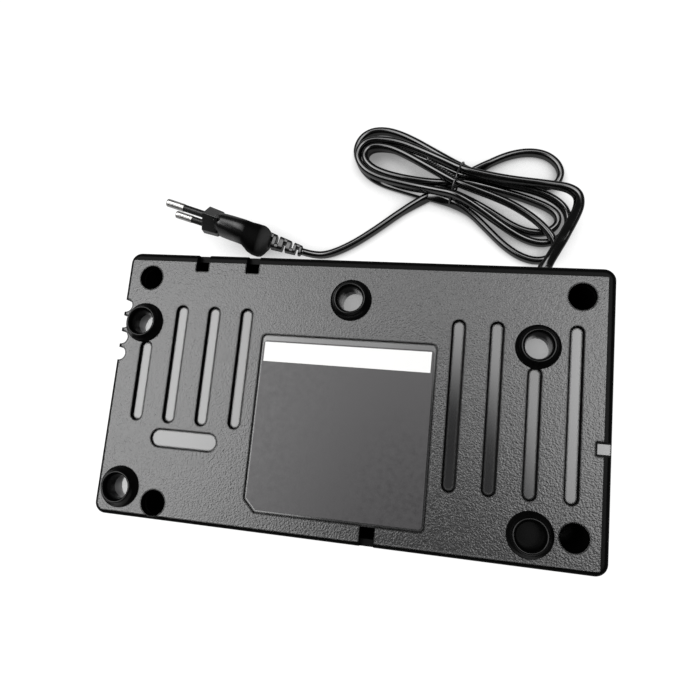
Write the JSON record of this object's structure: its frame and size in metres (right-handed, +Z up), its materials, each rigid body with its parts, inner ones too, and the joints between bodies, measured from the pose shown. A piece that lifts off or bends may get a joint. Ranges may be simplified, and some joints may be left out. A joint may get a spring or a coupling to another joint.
{
  "type": "power tool battery charger",
  "caption": "Box-shaped tool battery charger lying on its flat top side, with a grooved underside, ring feet, a battery bay, an internal fan and a hanked mains cord with a round-pin plug.",
  "frame": {"origin": "on the resting plane under the middle of the case, which lies on its flat top side", "axes": "+X along the case, +Y towards the wall that the mains cord leaves, +Z up, towards the feet on the underside"},
  "size_m": [0.2077, 0.2016, 0.0736],
  "materials": {
    "case_plastic": "fine spark-eroded grain",
    "foot_rubber": "satin moulded",
    "screw_steel": "plain",
    "label_sticker": "satin printed film, bare",
    "board_laminate": "solder mask",
    "ferrite": "sintered",
    "winding_tape": "wrapped tape",
    "capacitor_sleeve": "shrink sleeve",
    "yellow_box": "moulded",
    "device_epoxy": "moulded epoxy",
    "fuse_tube": "clear",
    "contact_metal": "tinned",
    "sink_aluminium": "mill",
    "terminal_plastic": "moulded",
    "led_lens": "clear lens",
    "light_pipe_clear": "polished",
    "block_plastic": "moulded",
    "fan_plastic": "moulded",
    "bearing_bronze": "sintered",
    "fan_wire": "insulation",
    "cord_rubber": "satin",
    "cord_pvc": "satin sheath",
    "live_wire": "insulation",
    "neutral_wire": "insulation",
    "tie_wire": "coated wire",
    "plug_pvc": "satin moulded",
    "pin_nickel": "nickel plated",
    "sleeve_plastic": "moulded"
  },
  "bodies": {
    "charger": {"base_shell": "case_plastic", "board_screws": "screw_steel", "bridge_rectifier": "device_epoxy", "bulk_capacitor": "capacitor_sleeve", "case_screws": "screw_steel", "circuit_board": "board_laminate", "clamp_screws": "screw_steel", "control_chip": "device_epoxy", "cord_clamp": "block_plastic", "cord_gland": "cord_rubber", "cord_tie": "tie_wire", "fan_bearing": "bearing_bronze", "fan_coil": "winding_tape", "fan_frame": "fan_plastic", "fan_lead": "fan_wire", "fan_terminal": "terminal_plastic", "filter_choke": "ferrite", "foot_back_left": "foot_rubber", "foot_back_middle": "foot_rubber", "foot_back_right": "foot_rubber", "foot_front_left": "foot_rubber", "foot_front_right": "foot_rubber", "fuse_caps": "contact_metal", "fuse_clips": "contact_metal", "fuse_glass": "fuse_tube", "inner_sheath": "cord_pvc", "light_pipes": "light_pipe_clear", "live_lead": "live_wire", "mains_cord_hank": "cord_pvc", "mains_cord_lead": "cord_pvc", "mains_cord_tail": "cord_pvc", "mains_terminal": "terminal_plastic", "neutral_lead": "neutral_wire", "output_capacitors": "capacitor_sleeve", "output_diode": "device_epoxy", "pin_sleeves": "sleeve_plastic", "plug_body": "plug_pvc", "plug_pins": "pin_nickel", "plug_relief": "plug_pvc", "primary_heat_sink": "sink_aluminium", "rating_label": "label_sticker", "safety_capacitor": "yellow_box", "secondary_heat_sink": "sink_aluminium", "status_leds": "led_lens", "switching_transistor": "device_epoxy", "terminal_blades": "contact_metal", "terminal_block": "block_plastic", "top_shell": "case_plastic", "transformer_core": "ferrite", "transformer_winding": "winding_tape"},
    "rotor": {"fan_rotor": "fan_plastic", "fan_shaft": "screw_steel"}
  },
  "joints": [
    {"name": "fan_spin", "type": "hinge", "parent": "charger", "child": "rotor", "pos_m": [-0.09, 0.0207, 0.034], "axis": [1, 0, 0], "continuous": true}
  ]
}
